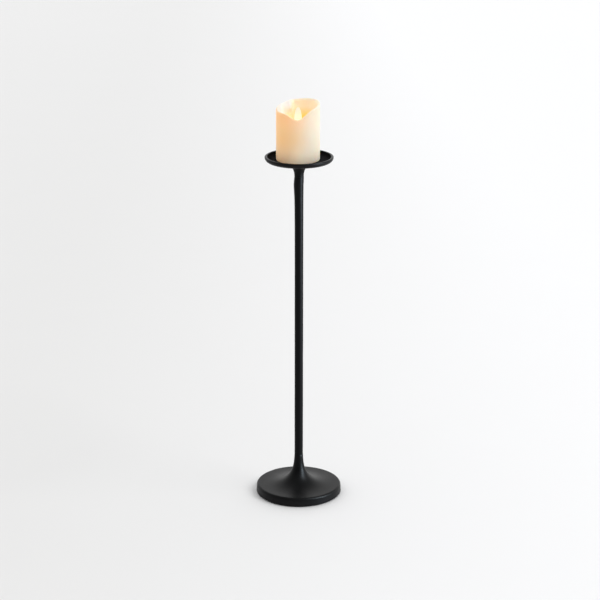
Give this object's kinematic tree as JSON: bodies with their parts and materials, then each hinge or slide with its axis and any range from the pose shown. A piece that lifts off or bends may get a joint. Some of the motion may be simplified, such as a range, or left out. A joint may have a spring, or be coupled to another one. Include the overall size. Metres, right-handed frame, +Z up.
{
  "type": "pillar candle holder",
  "caption": "Tall floor-standing pillar candle holder of black cast metal with a round trumpet foot, slender stem and shallow dish, holding a flameless moving-flame pillar candle.",
  "frame": {"origin": "centre of the felt under the foot, on the floor", "axes": "+Z up the stem, -Y towards the candle's low front edge, +X to the right of that front"},
  "size_m": [0.1524, 0.1524, 0.7174],
  "materials": {
    "coated_iron": "satin black powder coat over a slightly uneven casting",
    "felt": "pressed black felt",
    "zinc_steel": "zinc plated",
    "black_steel": "black oxide",
    "wax": "ivory paraffin wax, waxy and slightly translucent, lit warm from inside",
    "ivory_plastic": "moulded, fine spark texture",
    "black_plastic": "moulded",
    "cell_jacket": "plain printed sleeve, no marks",
    "fibreglass": "green solder mask",
    "copper": "enamelled copper wire",
    "lamp_resin": "clear lens, lit",
    "flame_plastic": "thin translucent plastic, lit from below"
  },
  "bodies": {
    "holder": {"base_casting": "coated_iron", "felt_pad": "felt", "stem": "coated_iron", "dish": "coated_iron", "base_bolt": "zinc_steel", "base_washer": "zinc_steel", "base_spring_washer": "zinc_steel", "dish_screw": "black_steel"},
    "candle": {"wax_shell": "wax", "battery_tray": "ivory_plastic", "battery_1": "cell_jacket", "battery_2": "cell_jacket", "contact_bridge": "zinc_steel", "contact_plate_positive": "zinc_steel", "contact_plate_negative": "zinc_steel", "contact_spring_1": "zinc_steel", "contact_spring_2": "zinc_steel", "switch_body": "black_plastic", "circuit_board": "fibreglass", "control_chip": "black_plastic", "board_screw_1": "zinc_steel", "board_screw_2": "zinc_steel", "mechanism_base": "black_plastic", "mechanism_screw_1": "zinc_steel", "mechanism_screw_2": "zinc_steel", "flame_tower": "black_plastic", "pivot_wire": "zinc_steel", "coil_bobbin": "black_plastic", "coil_winding": "copper", "coil_core": "zinc_steel", "led": "lamp_resin", "led_holder": "black_plastic"},
    "flame": {"flame": "flame_plastic", "flame_magnet": "zinc_steel"},
    "battery_door": {"battery_door": "ivory_plastic"},
    "switch_knob": {"switch_knob": "black_plastic"}
  },
  "joints": [
    {"name": "candle_lift", "type": "slide", "parent": "holder", "child": "candle", "axis": [0, 0, 1], "range_m": [0, 0.12]},
    {"name": "flame_swing", "type": "hinge", "parent": "candle", "child": "flame", "pos_m": [-0.002, 0, 0.6704], "axis": [0, 1, 0], "range_deg": [-8, 8]},
    {"name": "door_unlatch", "type": "slide", "parent": "candle", "child": "battery_door", "axis": [1, 0, 0], "range_m": [0, 0.003]},
    {"name": "switch_slide", "type": "slide", "parent": "candle", "child": "switch_knob", "axis": [1, 0, 0], "range_m": [0, 0.004]}
  ]
}
